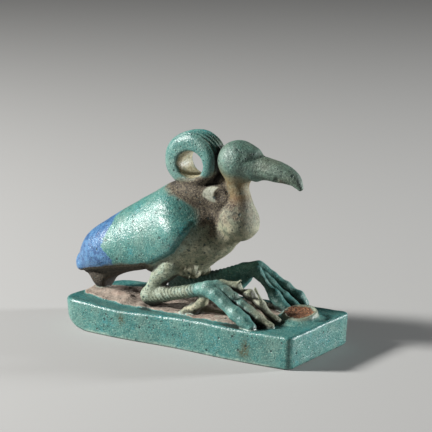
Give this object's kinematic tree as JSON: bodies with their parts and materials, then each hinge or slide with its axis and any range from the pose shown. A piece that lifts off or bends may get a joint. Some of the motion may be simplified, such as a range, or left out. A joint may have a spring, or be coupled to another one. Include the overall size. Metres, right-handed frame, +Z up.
{
  "type": "faience ibis amulet",
  "caption": "Small glazed faience amulet of an ibis squatting on a low plinth, with a ribbed suspension ring on its back and the broken stump of a lost figure under its bill",
  "frame": {"origin": "under the middle of the whole outline, at the bottom face of the plinth", "axes": "+X the way the bird faces, along the plinth; +Y to the bird's left; +Z up"},
  "size_m": [0.0576, 0.0216, 0.0417],
  "materials": {
    "faience_glaze": "worn turquoise glaze with a cobalt tail, brown burial dirt and pale bare core"
  },
  "bodies": {
    "root": {"ibis_amulet": "faience_glaze"}
  },
  "joints": []
}
